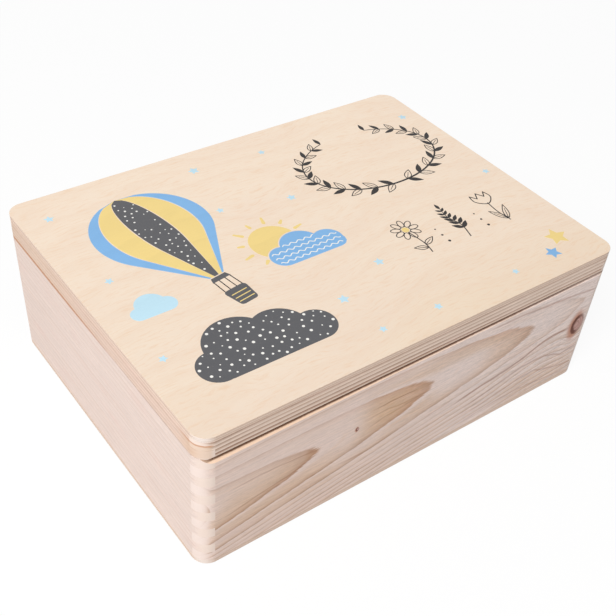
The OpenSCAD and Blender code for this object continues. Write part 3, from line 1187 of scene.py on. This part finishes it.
def meadow():
    """Three plants in a row, with columns of dots between them and a yellow heart in the daisy."""
    plants = [*daisy(DAISY_X, PLANT_Y), *fern(FERN_X, PLANT_Y), *tulip(TULIP_X, PLANT_Y)]
    for x in ((DAISY_X + FERN_X) / 2, (FERN_X + TULIP_X) / 2):
        plants += [disc(x, PLANT_Y - 18 + 9 * i, 1.3 - 0.25 * i, SMALL_STEPS) for i in range(3)]
    heart = disc(DAISY_X, PLANT_Y + 12, 3.2)
    film("plants", plants, BLACK, holes=[heart])
    film("daisy_heart", [heart], YELLOW)


def print_lid():
    """The whole print, first colours first."""
    balloon()
    sky()
    strewn_stars()
    wreath()
    meadow()


# ======== Floor, backdrop and light ========

FLOOR_RADIUS = 8
FLOOR_DROP = 0.0003             # how far the floor lies below the box's underside
OPENING_INSET = 0.0006          # how far within the box's outline the floor's opening lies
OPENING_CORNER = 0.0124         # radius of its corners
FLOOR_LIFT = 0.9                # share of plain white in what the camera sees of the floor
FLOOR_SEEN = 0.97               # how much light the floor gives back to the camera
FLOOR_BOUNCE = 0.44             # how much it gives back to the box
AMBIENT = 0.45
KEY_TOWARDS = Vector((-0.644, -0.344, 0.683)).normalized()
KEY_AWAY = 3
KEY_WIDE = 1.5
KEY_WATTS = 69


def seen_directly(tree):
    """1 for rays that show the background: from the camera, in a gloss, or through glass."""
    kinds = ("Is Camera Ray", "Is Glossy Ray", "Is Transmission Ray")
    camera_ray, glossy_ray, clear_ray = [node(tree, "LightPath", output=kind) for kind in kinds]
    return camera_ray.most(glossy_ray).most(clear_ray)


def make_world():
    """Soft even light from all round, with a white background."""
    world = bpy.data.worlds.new("studio")
    bpy.context.scene.world = world
    world.use_nodes = True
    tree = world.node_tree
    background = tree.nodes["Background"]
    background.inputs["Color"].default_value = (1, 1, 1, 1)
    strength = seen_directly(tree) * (1 - AMBIENT) + AMBIENT
    plug(tree, background.inputs["Strength"], strength)


def make_floor():
    """A pale floor that keeps the shadow.

    The view from below passes through it, and an opening hidden under the box lets light
    reach its underside.
    """
    half_x = HALF_X - OPENING_INSET - OPENING_CORNER
    half_y = HALF_Y - OPENING_INSET - OPENING_CORNER
    corners = ((half_x, half_y), (-half_x, half_y), (-half_x, -half_y), (half_x, -half_y))
    rim = []
    for i, (x, y) in enumerate(corners):
        rim += [polar(x, y, OPENING_CORNER, 90 * i + 15 * j) for j in range(7)]
    outer = [tuple(Vector(spot).normalized() * FLOOR_RADIUS) for spot in rim]
    count = len(rim)
    faces = [(i, (i + 1) % count, (i + 1) % count + count, i + count) for i in range(count)]
    mesh = bpy.data.meshes.new("floor")
    mesh.from_pydata([(x, y, -FLOOR_DROP) for x, y in (*outer, *rim)], [], faces)
    floor = add_object("floor", mesh)
    mesh.materials.append(floor_white())


def floor_white():
    """Matt white that is lifted towards plain white for the camera, and clear from below."""
    material = bpy.data.materials.new("floor_white")
    material.use_nodes = True
    tree = material.node_tree
    tree.nodes.clear()
    grey = seen_directly(tree) * (FLOOR_SEEN - FLOOR_BOUNCE) + FLOOR_BOUNCE
    matte = node(tree, "BsdfDiffuse", (grey,))
    lifted = node(tree, "MixShader", (seen_directly(tree) * FLOOR_LIFT, matte, node(tree, "Emission")))
    behind = node(tree, "NewGeometry", output="Backfacing")
    one_sided = node(tree, "MixShader", (behind, lifted, node(tree, "BsdfTransparent")))
    output = tree.nodes.new("ShaderNodeOutputMaterial")
    plug(tree, output.inputs["Surface"], one_sided)
    return material


def make_key_light():
    """One large soft lamp above and to the left."""
    lamp = bpy.data.lights.new("key", "AREA")
    lamp.shape = "DISK"
    lamp.size = KEY_WIDE
    lamp.energy = KEY_WATTS
    key = add_object("key", lamp)
    middle = (CAD_BOX[0] + CAD_BOX[1]) / 2
    key.location = middle + KEY_TOWARDS * KEY_AWAY
    key.rotation_euler = KEY_TOWARDS.to_track_quat("Z", "Y").to_euler()


# ======== Build ========


bpy.context.scene.view_settings.view_transform = "Standard"
make_camera()
make_world()
make_floor()
make_key_light()
dress_frame()
print_lid()
